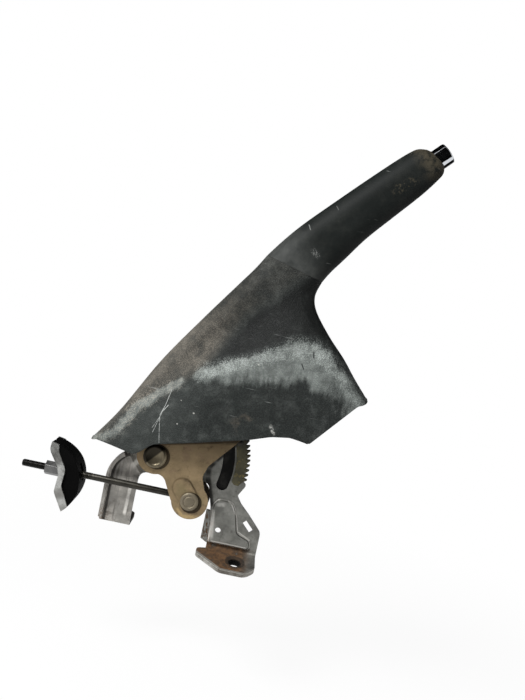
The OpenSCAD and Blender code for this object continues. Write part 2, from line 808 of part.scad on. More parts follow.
module equalizer() {
    color("silver") translate([seat[0], 0, seat[1]]) rotate([0, -equalizer_lean, 0]) difference() {
        union() {
            intersection() {
                slab(-30, 30) bow(0);
                slab(-30, 30) polygon(rounded(concat(
                    [for (p = lip_outside) p + [0.2, 0, 0]], [[30, -36, 0], [30, 36, 0]]
                )));
                leaf(0);
            }
            lips();
        }
        intersection() {
            slab(-30, 30) bow(equalizer_sheet);
            leaf(equalizer_sheet);
        }
        crosswise([0, 0], -6.5, 6.5, 2 * (ball_radius + 0.55));
        rotate([0, 90, 0]) cylinder(h = 20, d = rod_diameter + 1.6);
        translate([0, -rod_diameter / 2 - 0.8, -3.6]) cube([20, rod_diameter + 1.6, 7.2]);
        for (z = [-3.6, 3.6])
            translate([0, 0, z]) rotate([0, 90, 0]) cylinder(h = 20, d = rod_diameter + 1.6);
        for (z = [-1, 1]) translate([-30, -2, z > 0 ? 18 : -38]) cube([40, 4, 20]);
    }
}

module placed() {
    translate([-bolt_x, -bolt_y, -bolt_z]) children();
}

placed() mounting_bracket();
placed() ratchet_sector();
placed() sector_rivets();
placed() pivot_pin();
placed() pivot_spacers();
placed() pivot_clip();
placed() lever_arm();
placed() handle_tube();
placed() grip();
placed() hood();
placed() hood_ribs();
placed() tube_bushes();
placed() clevis_pin();
placed() clevis_spacers();
placed() pawl_pin();
placed() pawl_spacers();
placed() pawl_spring();
placed() return_spring();
placed() release_button();
placed() release_rod();
placed() pawl();
placed() pull_rod();
placed() adjuster_nut();
placed() equalizer();
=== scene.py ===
"""A parking brake lever: hooded grip, stamped bracket, ratchet, pull rod and cable equalizer."""

import json
from math import atan2, cos, hypot, pi, radians, sin

import bmesh
import bpy
from mathutils import Matrix, Vector


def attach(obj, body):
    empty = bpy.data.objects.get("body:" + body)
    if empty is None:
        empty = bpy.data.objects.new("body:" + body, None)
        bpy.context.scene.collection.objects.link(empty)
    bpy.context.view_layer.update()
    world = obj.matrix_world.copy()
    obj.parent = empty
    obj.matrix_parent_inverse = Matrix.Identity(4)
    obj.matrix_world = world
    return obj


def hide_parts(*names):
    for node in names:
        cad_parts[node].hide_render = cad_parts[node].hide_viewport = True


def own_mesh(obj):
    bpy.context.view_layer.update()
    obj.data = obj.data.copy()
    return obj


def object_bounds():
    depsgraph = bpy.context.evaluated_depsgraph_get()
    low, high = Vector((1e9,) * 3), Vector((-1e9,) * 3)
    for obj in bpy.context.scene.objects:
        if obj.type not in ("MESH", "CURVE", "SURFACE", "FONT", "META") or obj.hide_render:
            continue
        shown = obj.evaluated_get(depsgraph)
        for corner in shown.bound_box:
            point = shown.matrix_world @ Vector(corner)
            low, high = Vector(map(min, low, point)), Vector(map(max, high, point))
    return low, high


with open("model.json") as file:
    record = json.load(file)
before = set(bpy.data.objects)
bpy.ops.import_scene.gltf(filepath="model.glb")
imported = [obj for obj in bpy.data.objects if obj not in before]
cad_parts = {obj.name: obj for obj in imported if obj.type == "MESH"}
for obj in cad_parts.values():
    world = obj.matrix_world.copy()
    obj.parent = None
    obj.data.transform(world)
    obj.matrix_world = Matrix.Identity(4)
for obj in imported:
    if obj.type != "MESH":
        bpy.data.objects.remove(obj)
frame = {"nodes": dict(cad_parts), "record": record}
cad_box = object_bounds()
solids = frame["nodes"]
bodies = frame["record"]["behaviour"]["bodies"]
body_of = {node: body for body, members in bodies.items() for node in members}

# Places are millimetres from the main pivot: X towards the grip, Y away from the camera, Z up.
PIVOT = Vector((-79.4, 15.6165, 72.8066))
CLEVIS_X, CLEVIS_Z = 33.9, -30.4
BOLT_HOLE = (79.4, -15.6, -72.8)
FLANGE_LEAN = radians(15)
EQUALIZER_X, EQUALIZER_LEAN = -64, radians(17)
SHARP_ANGLE = radians(38)


def spot(x, y, z):
    """A place from the main pivot, in metres in the shared frame."""
    return (PIVOT + Vector((x, y, z))) / 1000


def along_grip(x, z):
    """How far up the hood and the grip a place in the side view lies."""
    return x * 0.695 + z * 0.719


def heading(start, end):
    """The length of a straight line in a plane, and its direction."""
    run = hypot(end[0] - start[0], end[1] - start[1])
    return run, (end[0] - start[0]) / run, (end[1] - start[1]) / run


def placed(name, data):
    """A new object in the scene, at the origin."""
    made = bpy.data.objects.new(name, data)
    bpy.context.scene.collection.objects.link(made)
    return made


def shade(red, green, blue):
    """A screen colour from 0 to 255 as a linear colour."""
    def linear(value):
        value = value / 255
        return value / 12.92 if value <= 0.04045 else ((value + 0.055) / 1.055) ** 2.4
    return linear(red), linear(green), linear(blue), 1


class Wire:
    """A socket whose arithmetic adds Math nodes. & is the lower of two masks and | the higher."""

    def __init__(self, graph, socket):
        self.graph = graph
        self.socket = socket

    def math(self, operation, first, second=0.0):
        return self.graph.node("ShaderNodeMath", {"operation": operation}, {0: first, 1: second})

    def also(self, output):
        """Another output of the same node."""
        return Wire(self.graph, self.socket.node.outputs[output])

    def __add__(self, other):
        return self.math("ADD", self, other)

    def __sub__(self, other):
        return self.math("SUBTRACT", self, other)

    def __rsub__(self, other):
        return self.math("SUBTRACT", other, self)

    def __mul__(self, other):
        return self.math("MULTIPLY", self, other)

    def __pow__(self, other):
        return self.math("POWER", self, other)

    def __and__(self, other):
        return self.math("MINIMUM", self, other)

    def __or__(self, other):
        return self.math("MAXIMUM", self, other)

    def __abs__(self):
        return self.math("ABSOLUTE", self)

    __radd__ = __add__
    __rmul__ = __mul__
    __rand__ = __and__
    __ror__ = __or__


class Graph:
    """A node tree that grows one node at a time."""

    def __init__(self, tree):
        self.tree = tree

    def node(self, kind, settings=(), sockets=(), output=0):
        made = self.tree.nodes.new(kind)
        for name, value in dict(settings).items():
            setattr(made, name, value)
        for name, value in dict(sockets).items():
            if isinstance(value, Wire):
                self.tree.links.new(value.socket, made.inputs[name])
            else:
                made.inputs[name].default_value = value
        return Wire(self, made.outputs[output])


class Finish(Graph):
    """One material, named for its slot, with its place in millimetres from the main pivot."""

    def __init__(self, slot):
        self.slot = slot
        self.material = bpy.data.materials.new(slot + "_finish")
        self.material.use_nodes = True
        super().__init__(self.material.node_tree)
        self.shader = self.tree.nodes["Principled BSDF"]
        metres = self.node("ShaderNodeTexCoord", output="Object")
        self.place = self.node(
            "ShaderNodeVectorMath", {"operation": "MULTIPLY_ADD"},
            {0: metres, 1: (1000, 1000, 1000), 2: -PIVOT},
        )
        self.x = self.node("ShaderNodeSeparateXYZ", {}, {0: self.place})
        self.y = self.x.also("Y")
        self.z = self.x.also("Z")

    def patches(self, size, detail=4, rough=0.55, shift=0, stretch=(1, 1, 1), turn=0):
        """Soft noise whose patches are about size millimetres, drawn out along a turned direction."""
        turned = self.node(
            "ShaderNodeMapping", {"vector_type": "POINT"},
            {"Vector": self.place, "Location": (shift, shift, shift), "Rotation": (0, radians(turn), 0),
             "Scale": stretch},
        )
        return self.node(
            "ShaderNodeTexNoise", {"noise_dimensions": "3D"},
            {"Vector": turned, "Scale": 1 / size, "Detail": detail, "Roughness": rough},
        )

    def pebbles(self, size):
        """Distance from the middle of cells about size millimetres across."""
        return self.node(
            "ShaderNodeTexVoronoi", {"feature": "SMOOTH_F1"},
            {"Vector": self.place, "Scale": 1 / size, "Smoothness": 0.6},
        )

    def step(self, value, low, high):
        """A smooth step from 0 at low to 1 at high; low may be the larger."""
        return self.node(
            "ShaderNodeMapRange", {"interpolation_type": "SMOOTHSTEP"},
            {"Value": value, "From Min": low, "From Max": high},
        )

    def trait(self, name):
        """A number that the piece carries at each of its points."""
        return self.node("ShaderNodeAttribute", {"attribute_name": name}, output="Fac")

    def mix(self, amount, under, over):
        return self.node(
            "ShaderNodeMix", {"data_type": "RGBA", "clamp_factor": True}, {0: amount, 6: under, 7: over}, 2
        )

    def stripe(self, across, upward, start, end, width):
        """A mask along a straight stripe in the plane of two coordinates."""
        run, right, rise = heading(start, end)
        along = (across - start[0]) * right + (upward - start[1]) * rise
        off = abs((across - start[0]) * rise - (upward - start[1]) * right)
        ends = self.step(along, -width, width) & self.step(along, run + width, run - width)
        return ends * self.step(off, width, width * 0.3)

    def mark(self, start, end, width, deepest=-2):
        """A stripe in the side view, on what is nearer than deepest."""
        return self.stripe(self.x, self.z, start, end, width) * self.step(self.y, deepest + 2, deepest - 2)

    def disc(self, middle, radius, soft=0.6):
        """A round mask in the side view."""
        across, upward = self.x - middle[0], self.z - middle[1]
        return self.step((across * across + upward * upward) ** 0.5, radius, radius - soft)

    def away(self, start, end):
        """Distance from a straight line between two places in the side view."""
        run, right, rise = heading(start, end)
        along = ((self.x - start[0]) * right + (self.z - start[1]) * rise | 0.0) & run
        across, upward = self.x - start[0] - along * right, self.z - start[1] - along * rise
        return (across * across + upward * upward) ** 0.5

    def scratches(self, turn, shift, fine=0.35, much=0.7):
        """Long thin scratches at an angle in the side view."""
        lines = self.patches(fine * 6, 2, 0.5, shift, (0.04, 0.2, 1.6), turn)
        gaps = self.patches(16, 2, 0.5, shift + 31)
        return self.step(lines, much, much + 0.06) * self.step(gaps, 0.48, 0.62)

    def dress(self, colour, roughness, metallic=0.0, height=None, strength=0.3, depth=0.0003, sheen=0.5):
        """Joins the colour, the gloss and the relief to the shader."""
        self.shader.inputs["Specular IOR Level"].default_value = sheen
        for name, value in (("Base Color", colour), ("Roughness", roughness), ("Metallic", metallic)):
            if isinstance(value, Wire):
                self.tree.links.new(value.socket, self.shader.inputs[name])
            else:
                self.shader.inputs[name].default_value = value
        if height is not None:
            relief = self.node(
                "ShaderNodeBump", {}, {"Height": height, "Strength": strength, "Distance": depth}
            )
            self.tree.links.new(relief.socket, self.shader.inputs["Normal"])
        return self


def hood_plastic():
    """Grained charcoal plastic, worn grey along the shoulder and dusty on top, with painted shade above the
    shoulder and along the front edge.
    """
    f = Finish("hood_plastic")
    wear = f.trait("wear")
    ridge = f.trait("ridge")
    top = f.trait("top")
    neck_shade = f.trait("neck_shade")
    broad = f.patches(38, 3, 0.6)
    blotch = f.patches(9, 5, 0.62, 11)
    fine = f.patches(1.6, 3, 0.6, 23)
    grain = f.pebbles(0.9)
    knob = f.step(grain, 0.62, 0.3)
    colour = f.mix(broad, shade(34, 37, 36), shade(52, 56, 54))
    # Painted shade on the face above the rubbed shoulder.
    colour = f.mix(neck_shade * 0.95, colour, shade(18, 20, 19))
    colour = f.mix((1 - knob) * 0.45, colour, shade(15, 16, 16))
    # A pale film in patches, and a lighter tone towards the back end.
    film = f.step(blotch, 0.45, 0.75) * 0.24 + f.step(fine, 0.56, 0.8) * 0.14 + f.step(f.x, 40, -10) * 0.1
    film = film * (1 - neck_shade * 0.7)
    colour = f.mix(film, colour, shade(104, 108, 105))
    dust = top * f.step(broad * 0.4 + blotch * 0.6, 0.3, 0.62)
    colour = f.mix(dust * (0.22 + knob * 0.3), colour, shade(92, 85, 76))
    powder = top * f.step(along_grip(f.x, f.z), 122, 74) * f.step(blotch, 0.1, 0.7)
    colour = f.mix(powder * (0.2 + knob * 0.2), colour, shade(146, 139, 128))
    streaks = f.patches(8, 5, 0.66, 47, (1.4, 1, 0.5), 8)
    wash = f.step(wear + (streaks - 0.5) * 1.3, 0.25, 0.85) * (0.5 + f.step(blotch, 0.3, 0.65) * 0.5)
    colour = f.mix(wash * (0.56 + knob * 0.16), colour, shade(146, 152, 148))
    rubbed = f.step(ridge * 1.1 + knob * 0.5 + (blotch - 0.5) * 0.9, 0.55, 1.5)
    rubbed = rubbed * (0.35 + f.step(streaks * 0.5 + blotch * 0.5, 0.36, 0.6) * 0.65)
    grey = f.mix(f.step(f.x, 24, 4), shade(172, 178, 174), shade(172, 164, 150))
    colour = f.mix(rubbed * (0.22 + knob * 0.34), colour, grey)
    nicks = f.scratches(65, 5) | f.scratches(-35, 71)
    scars = f.mark((3, 56), (0.5, 42.5), 0.3) | f.mark((0.5, 42.5), (-2, 35), 0.34)
    scars = scars | f.mark((-2, 35), (2, 14), 0.26) | f.mark((0.5, 42.5), (-4.8, 20.8), 0.2)
    scars = scars | f.mark((-2, 33), (-6, 24), 0.16) | f.mark((3, 44), (0, 39), 0.4)
    chips = f.mark((23.7, 43), (24.4, 43), 0.9) | f.mark((12.8, 32), (13.3, 32), 0.7)
    chips = chips | f.mark((12, 50), (12.4, 50), 0.5) | f.mark((65, 90.5), (65.8, 90.5), 0.8)
    smudge = f.mark((84, 46), (88, 40), 1.8) * f.step(fine, 0.38, 0.6)
    colour = f.mix((nicks * 0.22) | (scars * f.step(fine, 0.28, 0.5) * 0.75), colour, shade(190, 193, 190))
    colour = f.mix((chips * 0.9) | (smudge * 0.55), colour, shade(206, 206, 200))
    soil = f.mark((58, 40), (70, 50), 9) * f.step(blotch, 0.45, 0.7)
    colour = f.mix(soil * 0.45, colour, shade(104, 88, 70))
    # Painted shade along the front edge of the hood, next to the grip.
    front_edge_shade = f.mark((99, 160), (100, 142), 5) | f.mark((100, 142), (130, 108), 4.5)
    colour = f.mix(front_edge_shade * 0.8, colour, shade(11, 11, 10))
    dents = f.mark((104.8, 109), (105.6, 104), 0.8) | f.mark((97.5, 98), (100, 94), 0.8)
    colour = f.mix(dents * 0.85, colour, shade(24, 25, 25))
    rough = 0.46 + dust * 0.3 + blotch * 0.14 + wash * 0.1
    relief = knob + fine * 0.3 - nicks * 0.5 - scars * 0.8
    return f.dress(colour, rough, 0.0, relief, 0.6, 0.0004, 0.14)


def grip_plastic():
    """Smoother black plastic with brown dust, rubbed edges, hair scratches and painted shade along its lower
    edge.
    """
    f = Finish("grip_plastic")
    broad = f.patches(30, 3, 0.6, 3)
    blotch = f.patches(7, 5, 0.65, 19)
    fine = f.patches(0.9, 3, 0.6, 29)
    along = along_grip(f.x, f.z)
    colour = f.mix(broad, shade(17, 20, 19), shade(30, 33, 32))
    dust = f.step(blotch * 0.6 + broad * 0.4, 0.44, 0.7) * 0.1
    end = f.step(along, 294, 308) * f.step(blotch, 0.34, 0.58)
    spots = f.mark((140, 242), (154, 254), 5) * f.step(f.patches(3, 4, 0.6, 87), 0.5, 0.62)
    colour = f.mix(dust, colour, shade(78, 78, 72))
    colour = f.mix((end | spots) * 0.42, colour, shade(94, 86, 70))
    # Painted shade along the lower edge of the grip.
    under = f.mark((98, 158), (115, 183), 7, 8) | f.mark((115, 183), (176, 266), 6, 8)
    colour = f.mix(under * 0.5, colour, shade(8, 9, 9))
    hair = f.scratches(-46, 17, 0.3) | f.scratches(-20, 59, 0.3)
    rub = f.mark((88, 185), (93, 181), 3.2) * f.step(fine, 0.45, 0.62)
    rub = rub | f.mark((81, 204), (83, 200), 0.5) | (f.mark((99, 222.5), (101, 219.5), 0.45) * 0.5)
    foot = f.step(along, 206, 172) * (0.6 + f.step(blotch, 0.3, 0.7) * 0.4)
    colour = f.mix((hair * 0.3) | (rub * 0.6) | (foot * 0.16), colour, shade(140, 142, 139))
    rough = 0.52 + dust * 0.5 + fine * 0.1
    return f.dress(colour, rough, 0.0, fine * 0.6 + blotch * 0.3 - hair, 0.4, 0.0002, 0.1)


def plated(slot, light, dark, roughness=0.4):
    """Zinc plate with a cloudy bloom, a fine drawn grain and grime."""
    f = Finish(slot)
    f.cloud = f.patches(12, 5, 0.62, 7)
    fine = f.patches(1.1, 3, 0.6, 13)
    drawn = f.patches(2.2, 3, 0.5, 37, (0.15, 1, 1), 60)
    colour = f.mix(f.step(f.cloud, 0.25, 0.75) * 0.6 + drawn * 0.25 + fine * 0.15, dark, light)
    f.grime = f.step(f.patches(6, 5, 0.7, 53), 0.54, 0.74)
    colour = f.mix(f.grime * 0.5, colour, shade(50, 46, 40))
    rough = roughness + f.cloud * 0.12 + f.grime * 0.25
    return f, colour, rough, fine * 0.6 + drawn * 0.4


def bracket_zinc():
    """Dull zinc with rust on the bolt flange and the foot, black grease and painted shade in the groove, and
    painted shade, shadows and highlights.
    """
    f, colour, rough, height = plated("bracket_zinc", shade(166, 166, 160), shade(84, 84, 80))
    spread = f.patches(4, 5, 0.7, 67)
    flange = f.step(f.z, -61.2, -62.4) * f.step(f.y, -0.6, -1.4) * f.step(f.x + spread * 14, 102, 90)
    leg = f.step(f.z, -46, -64) * f.step(f.x, -26, -37)
    edge = f.step(f.z, -34, -48) * f.step(f.x, 58, 54) * f.step(f.x, 40, 46)
    pale = f.step(f.x, -6, -14) * (0.3 + f.step(f.cloud, 0.4, 0.7) * 0.4)
    colour = f.mix(pale, colour, shade(214, 208, 200))
    streak = f.step(f.patches(3, 4, 0.6, 29, (1, 1, 0.12), 4), 0.5, 0.66) * f.step(f.x, -6, -14)
    colour = f.mix(streak * 0.5, colour, shade(66, 62, 58))
    rim = f.stripe(f.x, f.y, (45, -12), (68, -30), 2.4) | f.stripe(f.x, f.y, (68, -30), (89, -30), 1.8)
    rim = (rim | f.stripe(f.x, f.y, (89, -30), (97, -20), 2.2)) * f.step(f.z, -61, -64)
    rust = (flange * f.step(spread, 0.2, 0.42)) | (leg * f.step(spread, 0.42, 0.6))
    rust = rust | (edge * f.step(spread, 0.45, 0.6)) | (f.step(spread, 0.7, 0.8) * 0.4)
    rust = rust * (1 - rim)
    brown = f.mix(f.step(spread, 0.3, 0.7), shade(44, 31, 19), shade(104, 74, 46))
    colour = f.mix(rim * 0.55, colour, shade(214, 211, 203))
    colour = f.mix(rust * 0.92, colour, brown)
    right, ahead, up = f.x - BOLT_HOLE[0], f.y - BOLT_HOLE[1], f.z - BOLT_HOLE[2]
    deep = up * cos(FLANGE_LEAN) - ahead * sin(FLANGE_LEAN)
    bore = (right * right + ahead * ahead + up * up - deep * deep) ** 0.5
    cut = f.step(deep, 2.8, 2.5) * f.step(deep, -0.2, 0.1) * f.step(bore, 8, 9) * f.step(f.y, -6, -8)
    bare = f.mix(f.step(f.cloud, 0.3, 0.7), shade(84, 78, 70), shade(186, 184, 178))
    colour = f.mix(cut * 0.85, colour, bare)
    rust = rust * (1 - cut)
    # Painted shade in the bolt hole: darker round its mouth and darkest down the bore.
    colour = f.mix(f.step(bore, 8.4, 7.8) * 0.72, colour, shade(40, 38, 35))
    colour = f.mix(f.step(bore, 6.0, 5.6) * f.step(deep, 2.2, 0.5), colour, shade(16, 15, 14))
    # Black grease and painted shade on the floor of the arc groove.
    reach = (f.x * f.x + f.z * f.z) ** 0.5
    groove = f.step(abs(reach - 58.3), 5.3, 4.7) * f.step(f.x, 40, 44)
    groove = groove * f.step(f.y, -1.4, -1.0) * f.step(f.z, -27, -24)
    grease = f.mix(f.step(f.cloud, 0.5, 0.8), shade(13, 13, 12), shade(44, 43, 40))
    colour = f.mix(groove * f.step(f.y, 1.0, 0.6), colour, grease)
    # Painted shadow of the lever plate on the bracket, along the plate's edge.
    plate_shadow = f.mark((62.5, 22.5), (47.3, 3.3), 2.6, 0) | f.mark((47.3, 3.3), (43.4, -3), 3, 0)
    plate_shadow = plate_shadow | f.mark((43.4, -3), (44, -10), 3.4, 0) | f.mark((44, -10), (52, -34), 3.2, 0)
    colour = f.mix(plate_shadow * 0.85, colour, shade(16, 15, 14))
    wall = f.step(f.z, -64, -62) * f.step(f.z, -24, -28) * f.step(f.x, 44, 48) * f.step(f.y, -4.05, -3.8)
    # Painted shade on the right wall of the pressed panel, and a painted highlight along the foot of its
    # walls.
    colour = f.mix(wall * f.step(f.y, -2.6, -3) * f.step(f.x, 58, 66) * 0.6, colour, shade(40, 39, 36))
    colour = f.mix(wall * f.step(f.y, -1.6, -1.7) * f.step(f.y, -3, -2.6) * 0.8, colour, shade(226, 224, 218))
    glint = f.mark((64.1, -26), (67.3, -27.4), 0.7, 0) | f.mark((67.3, -27.4), (73, -36.6), 0.7, 0)
    glint = glint | f.mark((73, -36.6), (76.8, -49.6), 0.7, 0) | f.mark((76.8, -49.6), (87.8, -54.7), 0.7, 0)
    glint = glint | (f.mark((53.4, -35), (56.6, -59), 2.6) * 0.8)
    glint = glint | (f.mark((56, -30.6), (62, -29.6), 2.4) * 0.7)
    glint = glint | f.mark((57, -60.8), (86, -60.8), 0.7)
    colour = f.mix(glint * f.step(f.cloud, 0.2, 0.5) * 0.75, colour, shade(224, 222, 216))
    # Painted shadow in a thin line inside the rim of the leg and its arch.
    arch = ((f.x + 12) * (f.x + 12) + (f.z + 28 | 0.0) ** 2) ** 0.5
    seam = f.step(abs(arch - 22.3), 1.9, 0.8) * f.step(f.y, 10, 12)
    shine = f.mark((-17.2, -32.6), (-18, -59.3), 2, 16) * f.step(f.cloud, 0.2, 0.5)
    shine = shine | f.mark((-12.5, -7.5), (-19.5, -18.6), 3, 18)
    colour = f.mix(shine * 0.75, colour, shade(230, 227, 220))
    # Painted shade on the bent-back foot.
    heel_shade = f.step(f.y, 15.2, 16.4) * f.step(f.z, -56, -60)
    colour = f.mix((heel_shade * 0.9) | (seam * 0.8), colour, shade(24, 22, 20))
    metal = 0.85 - rust * 0.75 - f.grime * 0.3 - groove * 0.7 - (heel_shade | seam | shine) * 0.6
    rough = rough + rust * 0.35 - groove * 0.1 + heel_shade * 0.3
    return f.dress(colour, rough, metal, height + rust, 0.35, 0.0002, 0.12)


def chromate():
    """Yellow passivated zinc, tan with a faint rainbow, and painted brown shade and shadows near the hood and
    round the pins.
    """
    f, colour, rough, height = plated("chromate", shade(168, 147, 114), shade(116, 101, 77))
    hue = f.patches(11, 2, 0.5, 83)
    colour = f.mix(f.step(hue, 0.55, 0.75) * 0.3, colour, shade(132, 106, 92))
    colour = f.mix(f.step(hue, 0.45, 0.25) * 0.3, colour, shade(116, 112, 80))
    # Painted shadow of the hood along the top of the plate.
    hood_shadow = f.step(f.z, 4, 20) * f.step(f.cloud, 0.25, 0.6)
    colour = f.mix(hood_shadow * 0.6, colour, shade(62, 50, 36))
    # A lighter tan along the lower edge round the clevis: a painted highlight where the rounded edge meets
    # the light.
    rub = f.mark((30, -44), (42, -42), 2.2) | f.mark((25, -38), (31, -44), 1.6)
    colour = f.mix(rub * f.step(f.cloud, 0.3, 0.55) * 0.6, colour, shade(196, 170, 122))
    pressed = f.away((26.3, -21), (CLEVIS_X, CLEVIS_Z))
    near = f.step(f.y, -11, -11.6)
    hollow = f.step(pressed, 8.2, 7.4) * near
    # Painted shade along the wall of the pressed hollow round the clevis stud.
    rim = f.step(abs(pressed - 8), 1.1, 0.2) * near * f.step(f.z, -34, -26)
    colour = f.mix(rim * (0.3 + f.step(f.x, 26, 32) * 0.35), colour, shade(58, 46, 32))
    shadow = f.mark((4, 11.4), (64, 25.7), 2.6, -9) | (f.mark((50, 22.4), (66, 26.4), 4, -9) * 0.8)
    colour = f.mix(shadow * 0.8, colour, shade(30, 24, 17))
    # Painted shade on the inner faces between the plates, and painted shadows beside the pin heads.
    inner_shade = f.step(abs(f.y), 11.4, 10.6)
    ring = (f.disc((35.4, -31.6), 8.9) | f.disc((1.6, -0.6), 10.6)) * near
    colour = f.mix((inner_shade * 0.85) | (ring * 0.8), colour, shade(22, 20, 17))
    metal = 0.6 - f.grime * 0.2 - inner_shade * 0.4
    return f.dress(colour, rough + 0.04, metal, height - hollow * 2, 0.3, 0.0002, 0.2)


def stud_steel():
    """Zinc that has browned on the heads of the pins, with painted shadow and shade on them."""
    f, colour, rough, height = plated("chromate", shade(138, 128, 106), shade(74, 66, 52), 0.3)
    # Painted shadow of the hood across the upper half of the pivot head.
    hood_shadow = f.step(f.z * 0.67 - f.x * 0.74, -0.6, 0.8) * f.step(f.x, 14, 10)
    clevis = f.step(f.x, 20, 24)
    colour = f.mix(clevis * 0.45, colour, shade(134, 125, 108))
    colour = f.mix(hood_shadow * 0.88, colour, shade(26, 23, 18))
    # Painted shade on the side wall of the clevis pin head.
    wall = f.step(f.y, -14.6, -14.2) * clevis
    colour = f.mix(wall * 0.8, colour, shade(24, 20, 16))
    return f.dress(colour, rough + clevis * 0.2, 0.85 - f.grime * 0.3 - clevis * 0.25, height, 0.25, 0.0002)


def sector_steel():
    f, colour, rough, height = plated("sector_steel", shade(102, 98, 74), shade(60, 57, 46))
    gold = f.step(f.patches(4, 4, 0.6, 89), 0.58, 0.72)
    colour = f.mix(gold * 0.55, colour, shade(150, 130, 66))
    # Painted shade towards the top, under the hood.
    colour = f.mix(f.step(f.z, 12, 26) * 0.75, colour, shade(22, 21, 18))
    return f.dress(colour, rough + 0.1, 0.55 - f.grime * 0.2, height, 0.3, 0.0002)


def bright_steel():
    f, colour, rough, height = plated("bright_steel", shade(146, 146, 145), shade(78, 78, 77), 0.32)
    return f.dress(colour, rough, 0.85 - f.grime * 0.3, height, 0.2, 0.0002)


def dark_steel():
    """Oiled steel, black on the free end of the thread."""
    f, colour, rough, height = plated("dark_steel", shade(70, 68, 62), shade(26, 25, 23), 0.32)
    rust = f.step(f.patches(3, 5, 0.7, 41), 0.6, 0.72)
    colour = f.mix(rust * 0.5, colour, shade(88, 66, 48))
    thread = f.step(f.x, -74, -80)
    colour = f.mix(thread * 0.8, colour, shade(18, 18, 18))
    return f.dress(colour, rough, 0.7 - rust * 0.4 - f.grime * 0.2, height, 0.3, 0.0002, 0.2)


def spring_steel():
    f, colour, rough, height = plated("spring_steel", shade(112, 112, 110), shade(66, 66, 64))
    return f.dress(colour, rough, 0.85 - f.grime * 0.3, height, 0.2, 0.0001)


def equalizer_zinc():
    """Bare zinc on the turned-out lips, with painted shade in bands along them, and black everywhere else."""
    f, colour, rough, height = plated("bracket_zinc", shade(228, 229, 225), shade(112, 112, 109), 0.3)
    along = (f.z - CLEVIS_Z) * cos(EQUALIZER_LEAN) - (f.x - EQUALIZER_X) * sin(EQUALIZER_LEAN)
    half = 14 - (abs(along) - 10 | 0.0) * 0.2
    bare = f.step(abs(f.y) - half, 0.0, 0.35)
    # Painted shade in bands along the lips.
    lip_shade = f.step(abs(along - 17), 7, 2) | f.step(abs(along + 13), 6, 2) | f.step(along, -20, -26)
    colour = f.mix(lip_shade * 0.6, colour, shade(112, 110, 106))
    black = 1 - bare
    colour = f.mix(black, colour, shade(8, 8, 8))
    return f.dress(colour, rough + black * 0.3, 0.85 - black * 0.85, height, 0.25, 0.0002, 0.03)


def chrome():
    f = Finish("chrome")
    smear = f.patches(5, 4, 0.6, 61)
    colour = f.mix(smear, shade(198, 201, 206), shade(224, 227, 230))
    return f.dress(colour, 0.04 + smear * 0.06, 1.0, smear, 0.02, 0.0001)


def moulded(slot, light, dark):
    f = Finish(slot)
    cloud = f.patches(4, 4, 0.6, 43)
    colour = f.mix(cloud, light, dark)
    return f.dress(colour, 0.42 + cloud * 0.2, 0.0, f.patches(0.5, 2, 0.5, 73), 0.2, 0.0001)


FINISH = {
    "hood_plastic": hood_plastic(),
    "grip_plastic": grip_plastic(),
    "bracket_zinc": bracket_zinc(),
    "chromate": chromate(),
    "sector_steel": sector_steel(),
    "bright_steel": bright_steel(),
    "stud": stud_steel(),
    "dark_steel": dark_steel(),
    "spring_steel": spring_steel(),
    "chrome": chrome(),
    "nylon": moulded("nylon", shade(214, 208, 190), shade(184, 176, 156)),
    "black_nylon": moulded("black_nylon", shade(34, 34, 34), shade(22, 22, 22)),
    "equalizer": equalizer_zinc(),
}


def smooth(mesh):
    """Shades a mesh smooth between its sharp edges."""
    mesh.shade_smooth()
    mesh.set_sharp_from_angle(angle=SHARP_ANGLE)


def settle(mesh):
    """Merges the points, turns the faces outwards and shades the mesh smooth."""
    work = bmesh.new()
    work.from_mesh(mesh)
    bmesh.ops.remove_doubles(work, verts=work.verts, dist=0.000002)
    bmesh.ops.recalc_face_normals(work, faces=work.faces)
    work.to_mesh(mesh)
    work.free()
    smooth(mesh)


def piece(name, mesh, body, finish, stands_for=()):
    """A piece that rides on a body, with a finish, and the solids that it stands for."""
    made = placed(name, mesh)
    mesh.materials.clear()
    mesh.materials.append(FINISH[finish].material)
    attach(made, body)
    if stands_for:
        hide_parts(*stands_for)
    return made


def loft(name, rings, closed, traits=()):
    """A mesh through rings of equal length. closed joins the last ring to the first."""
    count = len(rings[0])
    points = [spot(*point) for ring in rings for point in ring]
    faces = []
    for j in range(len(rings) if closed else len(rings) - 1):
        here = j * count
        there = (j + 1) % len(rings) * count
        for i in range(count):
            k = (i + 1) % count
            faces.append((here + i, there + i, there + k, here + k))
    if not closed:
        faces.append(tuple(range(count)))
        faces.append(tuple(range((len(rings) - 1) * count, len(rings) * count))[::-1])
    mesh = bpy.data.meshes.new(name)
    mesh.from_pydata(points, [], faces)
    for trait, values in dict(traits).items():
        mesh.attributes.new(trait, "FLOAT", "POINT").data.foreach_set("value", values)
    settle(mesh)
    return mesh


def broken(profile, size):
    """A profile with its inner corners cut by a small chamfer."""
    cut = [profile[0]]
    for before, here, after in zip(profile, profile[1:], profile[2:]):
        for other in (before, after):
            way = Vector(other) - Vector(here)
            reach = min(size, way.length * 0.45)
            cut.append(tuple(Vector(here) + way.normalized() * reach))
    return cut + [profile[-1]]


def turned(name, profile, origin, axis, steps=72, closed=False):
    """A profile of (along, radius) pairs turned about an axis; a closed profile makes a ring."""
    axis = Vector(axis).normalized()
    side = axis.orthogonal().normalized()
    other = axis.cross(side)
    rings = []
    for along, radius in profile:
        ring = []
        for i in range(steps):
            way = side * cos(2 * pi * i / steps) + other * sin(2 * pi * i / steps)
            ring.append(Vector(origin) + axis * along + way * radius)
        rings.append(ring)
    return loft(name, rings, closed)


